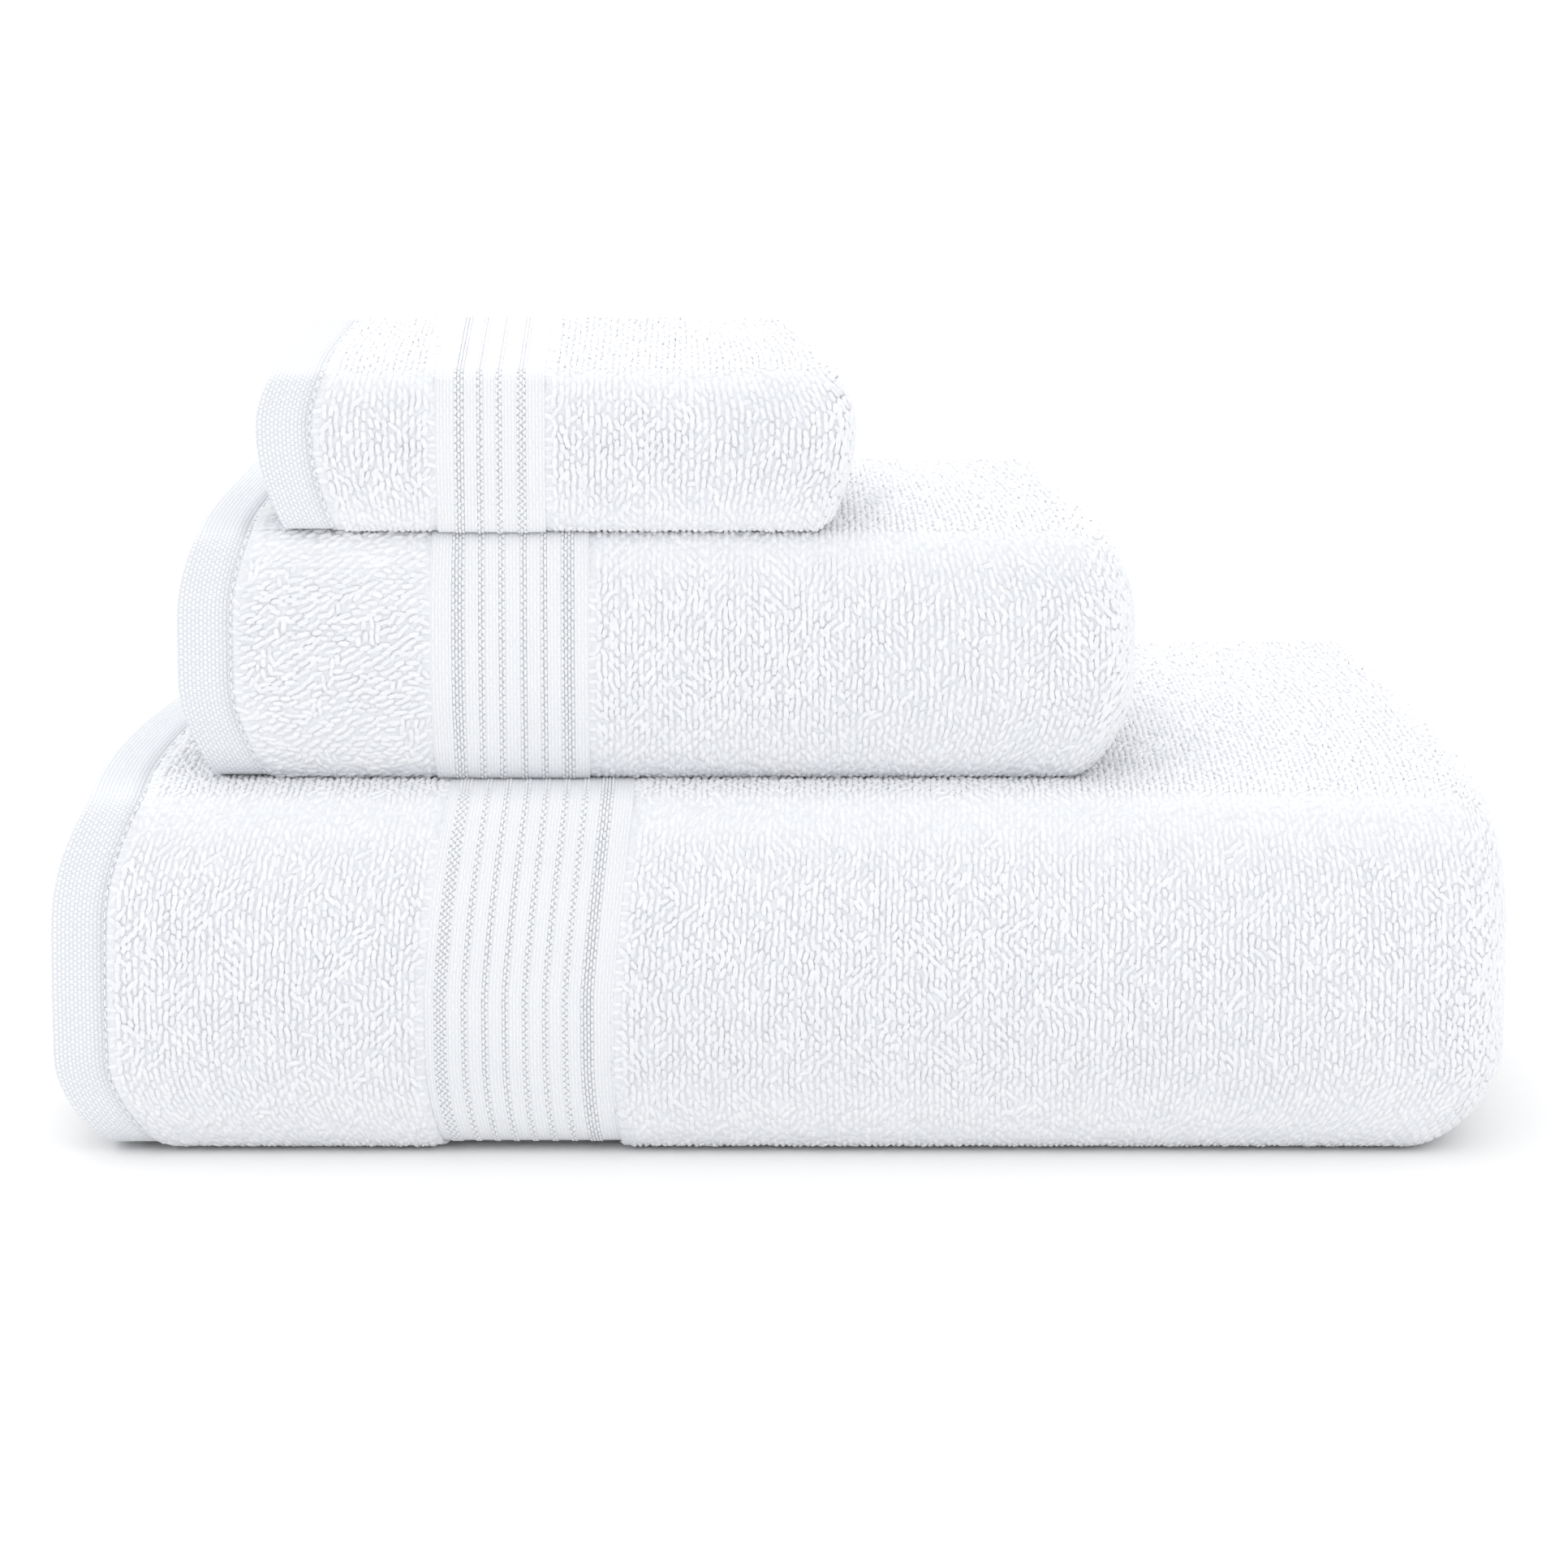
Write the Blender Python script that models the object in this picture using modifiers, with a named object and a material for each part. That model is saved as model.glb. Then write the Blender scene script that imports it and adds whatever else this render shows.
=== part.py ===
"""Bath towel set: a washcloth on a hand towel on a bath towel, each one a real folded sheet.

Metres, +Z up, with the origin under the middle of the bath towel. +X runs along the folded towels
from their hem ends to their fold ends, and the smooth front folds face -Y.

Each towel is one woven cloth. Its length is folded first, in half twice, in thirds or in half,
and then its width is folded in half twice, so that the last fold makes the whole front. The cloth
is split into solids where its weave changes: terry field, flat woven borders, terry end panels,
turned end hems, turned side hems, and the sewing thread of each hem.
"""

import math
from bisect import bisect_right
from dataclasses import dataclass

import bmesh
import bpy
from mathutils import Vector


@dataclass(frozen=True)
class Towel:
    """One towel: its flat size, how it is folded, its weave and how far its soft ends round off."""

    name: str
    width: float
    length: float
    plies: int
    pitch: float
    hem_to_border: float
    border_width: float
    border_shift: float
    setback: float
    hem_end_bottom: float
    fold_end_bottom: float
    hem_end_top: float
    fold_end_top: float
    hem_end_back: float
    fold_end_back: float
    lean_top: float
    lean_bottom: float


BATH = Towel(
    name="bath",
    width=0.762,
    length=1.524,
    plies=4,
    pitch=0.00625,
    hem_to_border=0.0983,
    border_width=0.0515,
    border_shift=0.0,
    setback=0.0,
    hem_end_bottom=0.017,
    fold_end_bottom=0.0165,
    hem_end_top=0.0115,
    fold_end_top=0.007,
    hem_end_back=0.033,
    fold_end_back=0.02,
    lean_top=0.0063,
    lean_bottom=0.003,
)
HAND = Towel(
    name="hand",
    width=0.406,
    length=0.742,
    plies=3,
    pitch=0.0057,
    hem_to_border=0.067,
    border_width=0.0425,
    border_shift=0.0024,
    setback=0.018,
    hem_end_bottom=0.011,
    fold_end_bottom=0.012,
    hem_end_top=0.0063,
    fold_end_top=0.011,
    hem_end_back=0.01,
    fold_end_back=0.0145,
    lean_top=0.0,
    lean_bottom=0.0,
)
WASH = Towel(
    name="wash",
    width=0.311,
    length=0.311,
    plies=2,
    pitch=0.00555,
    hem_to_border=0.0473,
    border_width=0.0293,
    border_shift=0.0043,
    setback=0.018,
    hem_end_bottom=0.008,
    fold_end_bottom=0.0075,
    hem_end_top=0.0056,
    fold_end_top=0.0075,
    hem_end_back=0.0065,
    fold_end_back=0.011,
    lean_top=0.0,
    lean_bottom=0.0,
)
STACK = (BATH, HAND, WASH)

END_HEM_WIDTH = 0.0155
SIDE_HEM_WIDTH = 0.008
HEM_THICKNESS = 0.0026
BORDER_THICKNESS = 0.002
PLY_GAP = 0.001  # air between two terry plies of a folded pack
THREAD_DIAMETER = 0.0005
STITCH_INSET = 0.0012  # from the hem's inner edge to the middle of its stitch line
CLEARANCE = 0.0003  # between pieces that touch
WEAVE_GAP = 0.0005  # between neighbouring strips of one cloth, whose ends are slanted
SIDE_GAP = 0.0007  # the same along the side hems, which are slanted most at the folds

TUCK = 0.004  # how far the inner plies stay behind the hem that covers them
FREE_EDGE_TUCK = 0.004  # how far the outer side edge stays behind the back fold
INNER_EDGE_TUCK = 0.007
CORNER_RADIUS_SHARE = 0.75  # front corner radius, as a share of the depth of the folded plies
CORNER_ANGLE = 60
NEST_GAP = 0.001  # between the outer front fold and the fold inside it

LONGEST_RUN = 0.095
CORNER_STEPS = 3
FRONT_STEPS = 4
TURN_STEPS = 4
WIDE_TURN_STEPS = 6
CREASE_STEPS = 6
FOLD_TURNS = {2: (0.5,), 3: (1.0, 0.5), 4: (1.5, 0.5, -0.5)}  # in pitches; below 0 turns back

LEAN_REACH = 0.08  # the lean is largest at the front border, and fades over this distance from it
END_REACH = 0.30  # share of the folded length over which an end rounds off
END_FLAT = 0.04  # share of the folded length, at the very end, that moves as one
BOTTOM_REACH = 0.028
TOP_START = 0.65  # share of the height at which the top begins to draw in
LEAN_START = 0.45  # share of the height at which the top begins to lean
LEAN_POWER = 1.2  # a lean grows nearly in a straight line
BACK_START = 0.15  # share of the depth at which the back begins to draw in
BACK_POWER = 2.5  # how late the back draws in; it levels off at the back edge

FINISHES = {
    "terry": ((0.93, 0.94, 0.96), 0.95),
    "border": ((0.90, 0.92, 0.95), 0.80),
    "hem": ((0.92, 0.93, 0.95), 0.85),
    "thread": ((0.95, 0.96, 0.97), 0.60),
}


class Track:
    """A path in a plane, laid as straight runs and round turns, that can be read at any distance."""

    def __init__(self, x, y, heading):
        self.heading = math.radians(heading)
        self.point = Vector((x, y))
        self.stations = [(0.0, self.point.copy(), self.heading)]

    @property
    def length(self):
        return self.stations[-1][0]

    def run(self, length):
        steps = max(1, math.ceil(length / LONGEST_RUN))
        along = Vector((math.cos(self.heading), math.sin(self.heading)))
        for _ in range(steps):
            self.point = self.point + along * (length / steps)
            self.keep(length / steps)

    def turn(self, radius, degrees, steps):
        """Turns left for degrees above 0, and right below."""
        side = math.copysign(1.0, degrees)
        centre = self.point + left_of(self.heading) * radius * side
        for _ in range(steps):
            self.heading += math.radians(degrees / steps)
            self.point = centre - left_of(self.heading) * radius * side
            self.keep(radius * math.radians(abs(degrees) / steps))

    def keep(self, distance):
        self.stations.append((self.length + distance, self.point.copy(), self.heading))

    def mark(self, distances):
        """Adds a station at each of these distances, so that strips on both sides share it."""
        for distance in distances:
            self.stations.append((distance, *self.at(distance)))
            self.stations.sort(key=lambda station: station[0])

    def at(self, distance):
        """(point, heading) at this distance along the path."""
        reached = [station[0] for station in self.stations]
        after = min(max(bisect_right(reached, distance), 1), len(reached) - 1)
        start, end = self.stations[after - 1], self.stations[after]
        share = (distance - start[0]) / (end[0] - start[0])
        return start[1].lerp(end[1], share), start[2] + (end[2] - start[2]) * share

    def between(self, start, end):
        """The distances of a strip's ends and of the stations inside it."""
        inside = [s[0] for s in self.stations if start + CLEARANCE < s[0] < end - CLEARANCE]
        return [start, *inside, end]


def left_of(heading):
    return Vector((-math.sin(heading), math.cos(heading)))


def terry_thickness(towel):
    return towel.pitch - PLY_GAP


def pack_depth(towel):
    """The depth of all the plies that the length fold lays on each other."""
    return towel.plies * towel.pitch


def towel_height(towel):
    return 4 * pack_depth(towel) - PLY_GAP


def length_track(towel):
    """The length fold, in the plane of the towel's length and the depth of its plies."""
    turns = FOLD_TURNS[towel.plies]
    ends_at_hem_side = towel.plies % 2 == 0
    near = TUCK + 0.5 * towel.pitch + terry_thickness(towel) / 2
    folded_back = towel.plies - (2 if ends_at_hem_side else 1)
    starts = [0.0] + [near] * folded_back + [TUCK] * ends_at_hem_side
    short = 0.0 if ends_at_hem_side else TUCK
    bends = math.pi * towel.pitch * sum(abs(turn) for turn in turns)
    far = (towel.length - bends + sum(starts) + short) / towel.plies
    track = Track(0.0, (towel.plies - 1) / 2 * towel.pitch, 0)
    for turn, start in zip(turns, starts):
        track.run(far - start)
        steps = WIDE_TURN_STEPS if abs(turn) >= 1 else TURN_STEPS
        track.turn(abs(turn) * towel.pitch, -math.copysign(180, turn), steps)
    track.run(far - starts[-1] - short)
    return track


def front_wrap(towel):
    """The outer front fold as a three-centred arch: corner radius, front radius, depth, length."""
    pack = pack_depth(towel)
    corner = CORNER_RADIUS_SHARE * pack
    lean = math.radians(CORNER_ANGLE)
    front = (1.5 * pack - corner * (1 - math.cos(lean))) / math.cos(lean)
    depth = corner * math.sin(lean) + front * (1 - math.sin(lean))
    return corner, front, depth, 2 * corner * lean + front * (math.pi - 2 * lean)


def fold_lines(towel):
    """Where the outer front fold ends, the inner one starts and the back crease starts, in depth."""
    pack = pack_depth(towel)
    _, _, wrap_depth, wrap_length = front_wrap(towel)
    outer = pack / 2 + wrap_depth
    inner = 2 * pack + NEST_GAP
    runs = towel.width - wrap_length - math.pi * pack
    crease = (runs + 2 * outer + 2 * inner - 2 * pack + FREE_EDGE_TUCK + INNER_EDGE_TUCK) / 4
    return outer, inner, crease


def width_track(towel):
    """The width fold, in the plane of depth and height, from the outer side edge to the inner one."""
    pack = pack_depth(towel)
    corner, front, _, _ = front_wrap(towel)
    outer, inner, crease = fold_lines(towel)
    track = Track(crease + pack - FREE_EDGE_TUCK, (pack - PLY_GAP) / 2, 180)
    track.run(track.point.x - outer)
    track.turn(corner, -CORNER_ANGLE, CORNER_STEPS)
    track.turn(front, 2 * CORNER_ANGLE - 180, FRONT_STEPS)
    track.turn(corner, -CORNER_ANGLE, CORNER_STEPS)
    track.run(crease - outer)
    track.turn(pack / 2, -180, CREASE_STEPS)
    track.run(crease - inner)
    track.turn(pack / 2, 180, CREASE_STEPS)
    track.run(crease + pack - INNER_EDGE_TUCK - inner)
    return track


def folded_length(towel):
    """From the outer hem's edge to the outermost face of the length fold."""
    far = max(station[1].x for station in length_track(towel).stations)
    return far + terry_thickness(towel) / 2


def folded_depth(towel):
    """From the front fold's face to the back fold's face."""
    return fold_lines(towel)[2] + pack_depth(towel)


def smooth(share):
    share = min(max(share, 0.0), 1.0)
    return share * share * (3 - 2 * share)


def drawn_in(towel, point, size):
    """How far soft ends round off low, high and towards the back, and how far the border leans."""
    length, depth, height = size
    low = max(0.0, 1 - point.z / BOTTOM_REACH) ** 2
    high = max(0.0, (point.z / height - TOP_START) / (1 - TOP_START)) ** 2
    back = min(max(0.0, (point.y / depth + 0.5 - BACK_START) / (1 - BACK_START)), 1.0)
    back = math.sin(math.pi / 2 * back) ** BACK_POWER
    if point.x > 0:
        ends = towel.fold_end_bottom, towel.fold_end_top, towel.fold_end_back
    else:
        ends = towel.hem_end_bottom, towel.hem_end_top, towel.hem_end_back
    from_end = (length / 2 - abs(point.x)) / length
    at_end = 1 - smooth((from_end - END_FLAT) / END_REACH)
    drawn = at_end * (ends[0] * low + ends[1] * high + ends[2] * back)
    border = towel.hem_to_border + towel.border_width / 2 - length / 2
    sway = max(0.0, (point.z / height - LEAN_START) / (1 - LEAN_START)) ** LEAN_POWER
    leaned = math.exp(-(((point.x - border) / LEAN_REACH) ** 2))
    leaned *= towel.lean_top * sway + towel.lean_bottom * low
    return Vector((leaned - math.copysign(drawn, point.x), 0, 0))


class Fold:
    """Lays any point of the flat cloth where folding puts it, in the towel's own frame."""

    def __init__(self, towel):
        self.towel = towel
        self.along = length_track(towel)
        self.along.mark(start for _, start, _, _, _ in weave_zones(towel))
        self.along.mark([towel.length - END_HEM_WIDTH])
        self.across = width_track(towel)
        self.across.mark([SIDE_HEM_WIDTH, towel.width - SIDE_HEM_WIDTH])
        self.size = (folded_length(towel), folded_depth(towel), towel_height(towel))

    def place(self, along, across):
        """The middle of the cloth at this distance along its length and across its width."""
        (ply, _), (spine, spine_heading) = self.along.at(along), self.across.at(across)
        up = left_of(spine_heading)
        length, depth, _ = self.size
        point = Vector((ply.x - length / 2, spine.x + up.x * ply.y - depth / 2, spine.y + up.y * ply.y))
        return point + drawn_in(self.towel, point, self.size)

    def above(self, along, across, lift):
        """A point this far above the cloth's face, square to it."""
        near = CLEARANCE
        by_length = self.place(along + near, across) - self.place(along - near, across)
        by_width = self.place(along, across + near) - self.place(along, across - near)
        return self.place(along, across) + by_length.cross(by_width).normalized() * lift


def make_material(name):
    colour, roughness = FINISHES[name]
    material = bpy.data.materials.new(f"{name}_white")
    material.use_nodes = True
    shader = material.node_tree.nodes["Principled BSDF"]
    shader.inputs["Base Color"].default_value = (*colour, 1)
    shader.inputs["Roughness"].default_value = roughness
    shader.inputs["Metallic"].default_value = 0.0
    return material


def add_node(name, data, finish, parent, collection):
    node = bpy.data.objects.new(name, data)
    node.parent = parent
    data.materials.append(make_material(finish))
    collection.objects.link(node)
    return node


def make_strip(name, fold, along, across, thickness, finish, parent, collection):
    """A strip of cloth: a flat grid that is laid along the folds and then given its thickness."""
    rows, columns = fold.along.between(*along), fold.across.between(*across)
    mesh = bpy.data.meshes.new(name)
    sheet = bmesh.new()
    bmesh.ops.create_grid(sheet, x_segments=len(rows) - 1, y_segments=len(columns) - 1, size=0.5)
    for vertex in sheet.verts:
        row = round((vertex.co.x + 0.5) * (len(rows) - 1))
        column = round((vertex.co.y + 0.5) * (len(columns) - 1))
        vertex.co = fold.place(rows[row], columns[column])
    sheet.to_mesh(mesh)
    sheet.free()
    mesh.shade_smooth()
    node = add_node(name, mesh, finish, parent, collection)
    cloth = node.modifiers.new("cloth thickness", "SOLIDIFY")
    cloth.thickness = thickness
    cloth.offset = 0.0
    cloth.use_even_offset = True
    return node


def make_thread(name, points, parent, collection):
    """A line of sewing thread that lies on the face of its hem."""
    curve = bpy.data.curves.new(name, "CURVE")
    curve.dimensions = "3D"
    curve.bevel_depth = THREAD_DIAMETER / 2
    curve.bevel_resolution = 0
    curve.use_fill_caps = True
    line = curve.splines.new("POLY")
    line.points.add(len(points) - 1)
    for knot, point in zip(line.points, points):
        knot.co = (*point, 1)
    return add_node(name, curve, "thread", parent, collection)


def weave_zones(towel):
    """(name, start, end, thickness, finish) of each strip between the two end hems."""
    border_end = towel.hem_to_border + towel.border_width
    length = towel.length
    terry = terry_thickness(towel)
    return (
        ("end_panel_front", END_HEM_WIDTH, towel.hem_to_border, terry, "terry"),
        ("border_front", towel.hem_to_border, border_end, BORDER_THICKNESS, "border"),
        ("terry_field", border_end, length - border_end, terry, "terry"),
        ("border_inner", length - border_end, length - towel.hem_to_border, BORDER_THICKNESS, "border"),
        ("end_panel_inner", length - towel.hem_to_border, length - END_HEM_WIDTH, terry, "terry"),
    )


def thread_lift():
    """From the middle of a hem to the middle of the thread that lies on its face."""
    return HEM_THICKNESS / 2 + CLEARANCE + THREAD_DIAMETER / 2


def make_end_hems(towel, fold, parent, collection):
    lift = thread_lift()
    across = fold.across.between(SIDE_HEM_WIDTH, towel.width - SIDE_HEM_WIDTH)
    inner_start = towel.length - END_HEM_WIDTH
    hems = (
        ("front", (0.0, END_HEM_WIDTH - WEAVE_GAP), END_HEM_WIDTH - STITCH_INSET),
        ("inner", (inner_start, towel.length), inner_start + STITCH_INSET),
    )
    for end, along, stitch in hems:
        name = f"{towel.name}_end_hem_{end}"
        make_strip(name, fold, along, (0, towel.width), HEM_THICKNESS, "hem", parent, collection)
        points = [fold.above(stitch, distance, lift) for distance in across]
        make_thread(f"{name}_thread", points, parent, collection)


def make_side_hems(towel, fold, parent, collection):
    lift = thread_lift()
    along = (END_HEM_WIDTH, towel.length - END_HEM_WIDTH - WEAVE_GAP)
    stops = fold.along.between(along[0] + STITCH_INSET, along[1] - STITCH_INSET)
    inner_start = towel.width - SIDE_HEM_WIDTH
    hems = (
        ("outer", (0.0, SIDE_HEM_WIDTH - SIDE_GAP), SIDE_HEM_WIDTH - STITCH_INSET),
        ("inner", (inner_start + SIDE_GAP, towel.width), inner_start + STITCH_INSET),
    )
    for side, across, stitch in hems:
        name = f"{towel.name}_side_hem_{side}"
        make_strip(name, fold, along, across, HEM_THICKNESS, "hem", parent, collection)
        points = [fold.above(distance, stitch, lift) for distance in stops]
        make_thread(f"{name}_thread", points, parent, collection)


def make_towel(towel, origin, collection):
    """One folded towel under an empty that stands on its lifting axis."""
    parent = bpy.data.objects.new(f"{towel.name}_towel_frame", None)
    parent.location = origin
    collection.objects.link(parent)
    fold = Fold(towel)
    between_hems = (SIDE_HEM_WIDTH, towel.width - SIDE_HEM_WIDTH)
    for zone, start, end, thickness, finish in weave_zones(towel):
        name = f"{towel.name}_{zone}"
        along = (start, end - WEAVE_GAP)
        make_strip(name, fold, along, between_hems, thickness, finish, parent, collection)
    make_end_hems(towel, fold, parent, collection)
    make_side_hems(towel, fold, parent, collection)


def thread_drop(towel):
    """How far the hem threads would hang below the terry's face, on a thin terry with a thick hem."""
    return max(0.0, thread_lift() + THREAD_DIAMETER / 2 - terry_thickness(towel) / 2)


def towel_origin(towel, floor):
    """Each upper towel lines its border up with the bath towel's, and its front with a setback."""
    border = BATH.hem_to_border - folded_length(BATH) / 2 + towel.border_shift
    front = towel.setback - folded_depth(BATH) / 2
    x = border - towel.hem_to_border + folded_length(towel) / 2
    return Vector((x, front + folded_depth(towel) / 2, floor))


def main():
    for old in list(bpy.data.objects):
        bpy.data.objects.remove(old, do_unlink=True)
    collection = bpy.data.collections.new("bath_towel_set")
    bpy.context.scene.collection.children.link(collection)
    floor = 0.0
    for towel in STACK:
        floor += thread_drop(towel)
        make_towel(towel, towel_origin(towel, floor), collection)
        floor += towel_height(towel) + thread_drop(towel) + CLEARANCE


main()
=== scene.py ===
# %% [markdown]
# # A bath towel set, folded and stacked
# A washcloth lies on a hand towel, which lies on a bath towel. Each one is a single woven cloth: looped
# terry, with a smooth flat-woven border near each end and a turned hem all round.
# The stack is already designed as plain solids. Here every solid is replaced by cloth that looks woven.
# The method is the one a person uses at a table: each strip is made flat, at its real size, with its
# loops, ribs and stitches on it, and only then is it folded.

# %% Load the fixed frame
import math
from dataclasses import dataclass

import bpy
import numpy as np
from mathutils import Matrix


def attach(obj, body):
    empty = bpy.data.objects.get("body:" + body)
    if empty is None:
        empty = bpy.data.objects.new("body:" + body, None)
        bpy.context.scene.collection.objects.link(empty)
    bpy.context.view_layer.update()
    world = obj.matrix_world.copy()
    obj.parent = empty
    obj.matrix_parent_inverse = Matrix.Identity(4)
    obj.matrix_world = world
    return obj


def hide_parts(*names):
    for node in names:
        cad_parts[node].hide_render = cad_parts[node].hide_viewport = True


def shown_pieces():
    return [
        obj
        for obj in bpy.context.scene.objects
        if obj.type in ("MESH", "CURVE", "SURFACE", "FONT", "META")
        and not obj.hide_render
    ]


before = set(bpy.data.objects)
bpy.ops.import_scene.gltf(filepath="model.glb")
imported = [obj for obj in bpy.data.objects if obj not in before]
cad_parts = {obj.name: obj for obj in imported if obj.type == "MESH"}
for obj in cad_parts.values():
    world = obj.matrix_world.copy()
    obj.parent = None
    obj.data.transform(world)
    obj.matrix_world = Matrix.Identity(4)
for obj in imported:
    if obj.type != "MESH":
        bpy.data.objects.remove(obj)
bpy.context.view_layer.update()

bpy.ops.object.select_all(action="DESELECT")

# %% [markdown]
# ## The three cloths
# A towel is described by its flat size, by how many plies its length is folded into, and by the depth
# of one ply. The rest says where its border and stripes sit, how far it is set back in the stack, and
# how far its soft ends draw in at the bottom, the top and the back.

# %% The towels, in metres
@dataclass(frozen=True)
class Towel:
    name: str
    body: str
    width: float
    length: float
    plies: int
    pitch: float
    hem_to_border: float
    border_width: float
    border_shift: float
    setback: float
    hem_end_bottom: float
    fold_end_bottom: float
    hem_end_top: float
    fold_end_top: float
    hem_end_back: float
    fold_end_back: float
    lean_top: float
    lean_bottom: float
    stripes: tuple


BATH = Towel(
    name="bath", body="bath_towel", width=0.762, length=1.524, plies=4, pitch=0.00625,
    hem_to_border=0.0983, border_width=0.0515, border_shift=0.0, setback=0.0,
    hem_end_bottom=0.017, fold_end_bottom=0.0165, hem_end_top=0.0115, fold_end_top=0.007,
    hem_end_back=0.033, fold_end_back=0.020, lean_top=0.0063, lean_bottom=0.003,
    stripes=(0.0048, 0.0112, 0.0167, 0.0221, 0.0274, 0.0328, 0.0380, 0.0439))
HAND = Towel(
    name="hand", body="hand_towel", width=0.406, length=0.742, plies=3, pitch=0.0057,
    hem_to_border=0.0670, border_width=0.0425, border_shift=0.0024, setback=0.018,
    hem_end_bottom=0.011, fold_end_bottom=0.012, hem_end_top=0.0063, fold_end_top=0.011,
    hem_end_back=0.010, fold_end_back=0.0145, lean_top=0.0, lean_bottom=0.0,
    stripes=(0.0076, 0.0138, 0.0192, 0.0249, 0.0303, 0.0366))
WASH = Towel(
    name="wash", body="washcloth", width=0.311, length=0.311, plies=2, pitch=0.00555,
    hem_to_border=0.0473, border_width=0.0293, border_shift=0.0043, setback=0.018,
    hem_end_bottom=0.008, fold_end_bottom=0.0075, hem_end_top=0.0056, fold_end_top=0.0075,
    hem_end_back=0.0065, fold_end_back=0.011, lean_top=0.0, lean_bottom=0.0,
    stripes=(0.0064, 0.0119, 0.0169, 0.0228))
STACK = (BATH, HAND, WASH)

END_HEM_WIDTH = 0.0155
SIDE_HEM_WIDTH = 0.008
HEM_THICKNESS = 0.0026
BORDER_THICKNESS = 0.002
PLY_GAP = 0.001
STITCH_INSET = 0.0012
CLEARANCE = 0.0003
WEAVE_GAP = 0.0002
TUCK = 0.004
FREE_EDGE_TUCK = 0.004
INNER_EDGE_TUCK = 0.007
NEST_GAP = 0.001
CORNER_RADIUS_SHARE = 0.75
CORNER_ANGLE = 60
FOLD_TURNS = {2: (0.5,), 3: (1.0, 0.5), 4: (1.5, 0.5, -0.5)}  # in pitches; below 0 turns back
LEAN_REACH = 0.08  # the lean fades over this distance from the border
END_REACH = 0.30
END_FLAT = 0.04
BOTTOM_REACH = 0.028
TOP_START = 0.65
LEAN_START = 0.45
LEAN_POWER = 1.2
BACK_START = 0.15
BACK_POWER = 2.5
PRESS = 0.9  # in depths of the folded plies, as are the next three
PRESS_REACH = 0.5
PRESS_START = 1.45
PRESS_FADE = 4.0
SAG = 0.0015  # how deep a pressed front foot sinks into the pile below, in metres

# %% [markdown]
# ## Folding as a rule, not as a simulation
# A cloth simulation could fold a towel, but it would drift from the size the stack has to keep.
# A fold is simpler as a path: straight runs joined by round turns. One path lays the plies of the
# length on each other, a second one wraps that pack of plies in depth and height. Any point of the flat
# cloth, with its height above the cloth, then has exactly one place in the stack.

# %% A path of runs and turns
ARC_STEPS = 40
LEAD_IN = 0.02  # each path goes on straight past its ends, for loops that lean over an edge


class Track:
    """A path in a plane, read at any distance along it."""

    def __init__(self, x, y, heading):
        turned = math.radians(heading)
        back = (x - LEAD_IN * math.cos(turned), y - LEAD_IN * math.sin(turned))
        self.rows = [(-LEAD_IN, *back, turned), (0.0, x, y, turned)]
        self.turns = []

    @property
    def length(self):
        return self.rows[-1][0]

    def run(self, length):
        distance, x, y, heading = self.rows[-1]
        end = (x + length * math.cos(heading), y + length * math.sin(heading))
        self.rows.append((distance + length, *end, heading))
        return self

    def turn(self, radius, degrees):
        """Turns left for degrees above 0, and right below."""
        distance, x, y, heading = self.rows[-1]
        side = math.copysign(radius, degrees)
        centre = (x - side * math.sin(heading), y + side * math.cos(heading))
        for step in range(1, ARC_STEPS + 1):
            angle = heading + math.radians(degrees) * step / ARC_STEPS
            gone = distance + radius * abs(angle - heading)
            place = (centre[0] + side * math.sin(angle), centre[1] - side * math.cos(angle))
            self.rows.append((gone, *place, angle))
        self.turns.append((distance, self.length))
        return self

    def read(self, distance):
        """(x, y, heading) at each of these distances."""
        if self.rows[-1][0] - self.rows[-2][0] != LEAD_IN:
            self.end = self.length
            self.run(LEAD_IN)
        table = np.array(self.rows).T
        return [np.interp(distance, table[0], column) for column in table[1:]]


def terry_thickness(towel):
    return towel.pitch - PLY_GAP


def pack_depth(towel):
    return towel.plies * towel.pitch


def towel_height(towel):
    return 4 * pack_depth(towel) - PLY_GAP


def length_track(towel):
    """The length fold, in the plane of the towel's length and the depth of its plies."""
    turns = FOLD_TURNS[towel.plies]
    ends_at_hem_side = towel.plies % 2 == 0
    near = TUCK + 0.5 * towel.pitch + terry_thickness(towel) / 2
    folded_back = towel.plies - (2 if ends_at_hem_side else 1)
    starts = [0.0] + [near] * folded_back + [TUCK] * ends_at_hem_side
    short = 0.0 if ends_at_hem_side else TUCK
    bends = math.pi * towel.pitch * sum(abs(turn) for turn in turns)
    far = (towel.length - bends + sum(starts) + short) / towel.plies
    track = Track(0.0, (towel.plies - 1) / 2 * towel.pitch, 0)
    for turn, start in zip(turns, starts):
        track.run(far - start).turn(abs(turn) * towel.pitch, -math.copysign(180, turn))
    return track.run(far - starts[-1] - short)


def front_wrap(towel):
    """The outer front fold: corner radius, front radius, depth and length."""
    pack = pack_depth(towel)
    corner = CORNER_RADIUS_SHARE * pack
    lean = math.radians(CORNER_ANGLE)
    front = (1.5 * pack - corner * (1 - math.cos(lean))) / math.cos(lean)
    depth = corner * math.sin(lean) + front * (1 - math.sin(lean))
    return corner, front, depth, 2 * corner * lean + front * (math.pi - 2 * lean)


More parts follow.
